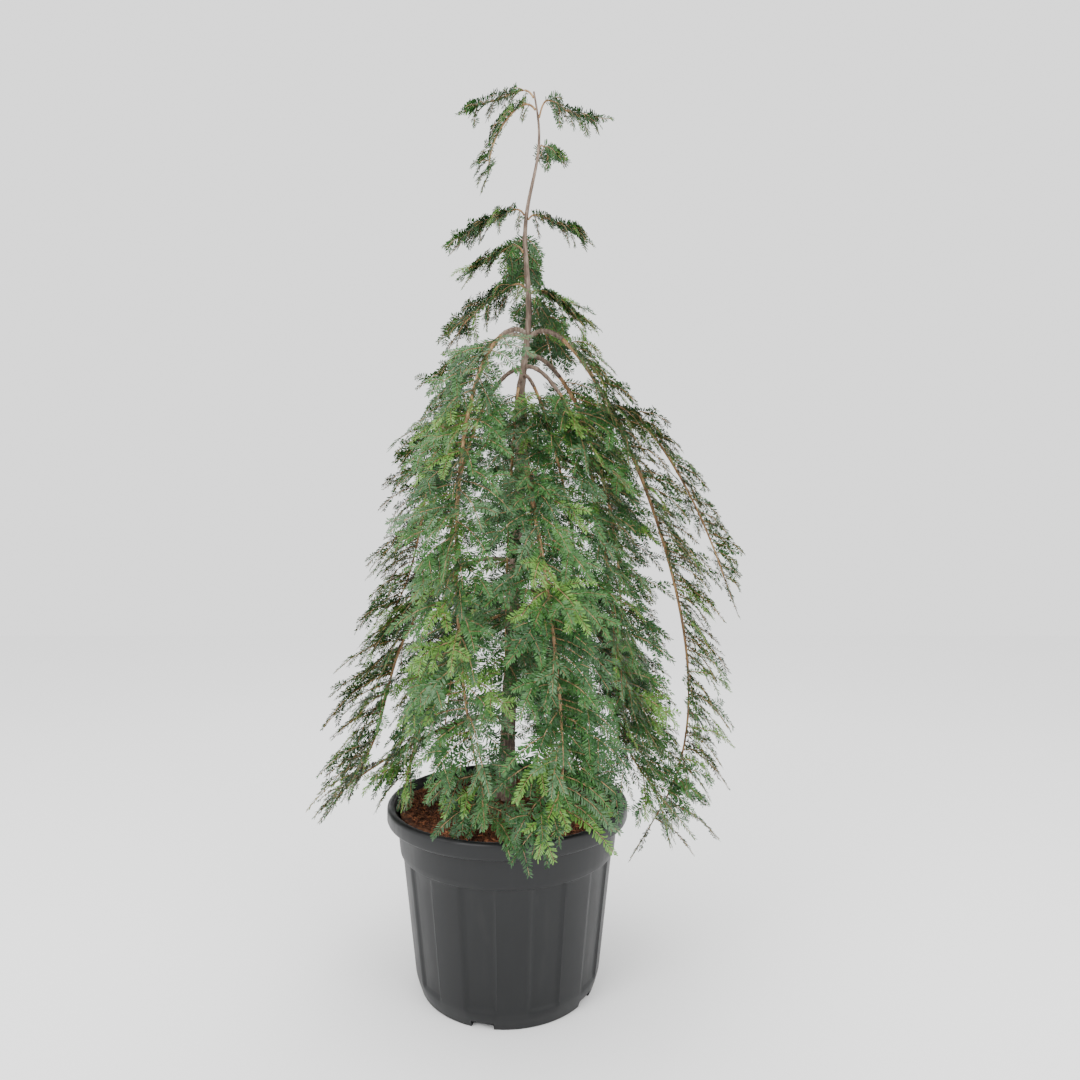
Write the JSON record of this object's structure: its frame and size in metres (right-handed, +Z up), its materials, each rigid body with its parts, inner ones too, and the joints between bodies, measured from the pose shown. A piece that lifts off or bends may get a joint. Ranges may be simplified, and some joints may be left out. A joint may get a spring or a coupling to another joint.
{
  "type": "potted weeping eastern hemlock",
  "caption": "Weeping eastern hemlock with a slender leaning trunk, arching boughs and hanging foliage, in a round fluted black nursery pot.",
  "frame": {"origin": "middle of the pot's flat underside, on the ground", "axes": "+Z up, +X to the right and -Y towards the viewer of the picture"},
  "size_m": [0.7, 0.6435, 1.4806],
  "materials": {
    "pot": "black moulded plastic with a soft sheen",
    "compost": "moist reddish-brown bark and coir fibre",
    "bark": "grey-brown fissured bark, golden tan on young shoots",
    "foliage": "flat dark green needles in two rows, paler beneath, yellow-green at the young tips"
  },
  "bodies": {
    "root": {"back_bough": "bark", "back_left_bough": "bark", "back_left_lower_foliage": "foliage", "back_left_upper_foliage": "foliage", "back_lower_foliage": "foliage", "back_right_bough": "bark", "back_right_lower_foliage": "foliage", "back_right_upper_foliage": "foliage", "back_upper_foliage": "foliage", "front_bough": "bark", "front_foliage": "foliage", "front_left_bough": "bark", "front_left_lower_foliage": "foliage", "front_left_upper_foliage": "foliage", "front_middle_bough": "bark", "front_middle_foliage": "foliage", "front_right_bough": "bark", "front_right_foliage": "foliage", "leader_hanging_foliage": "foliage", "leader_left_foliage": "foliage", "leader_right_foliage": "foliage", "leader_tufts_foliage": "foliage", "left_bough": "bark", "left_foliage": "foliage", "low_back_foliage": "foliage", "low_back_left_foliage": "foliage", "low_back_right_foliage": "foliage", "low_front_left_foliage": "foliage", "low_front_right_foliage": "foliage", "low_left_bough": "bark", "low_left_foliage": "foliage", "low_right_bough": "bark", "low_right_foliage": "foliage", "pot": "pot", "right_bough": "bark", "right_lower_foliage": "foliage", "right_middle_bough": "bark", "right_middle_lower_foliage": "foliage", "right_middle_upper_foliage": "foliage", "right_outer_foliage": "foliage", "right_upper_foliage": "foliage", "rim_left_foliage": "foliage", "shoulder_back_foliage": "foliage", "shoulder_left_foliage": "foliage", "shoulder_right_foliage": "foliage", "soil": "compost", "trunk": "bark", "upper_back_foliage": "foliage", "upper_front_foliage": "foliage", "upper_left_foliage": "foliage", "upper_right_foliage": "foliage"}
  },
  "joints": []
}
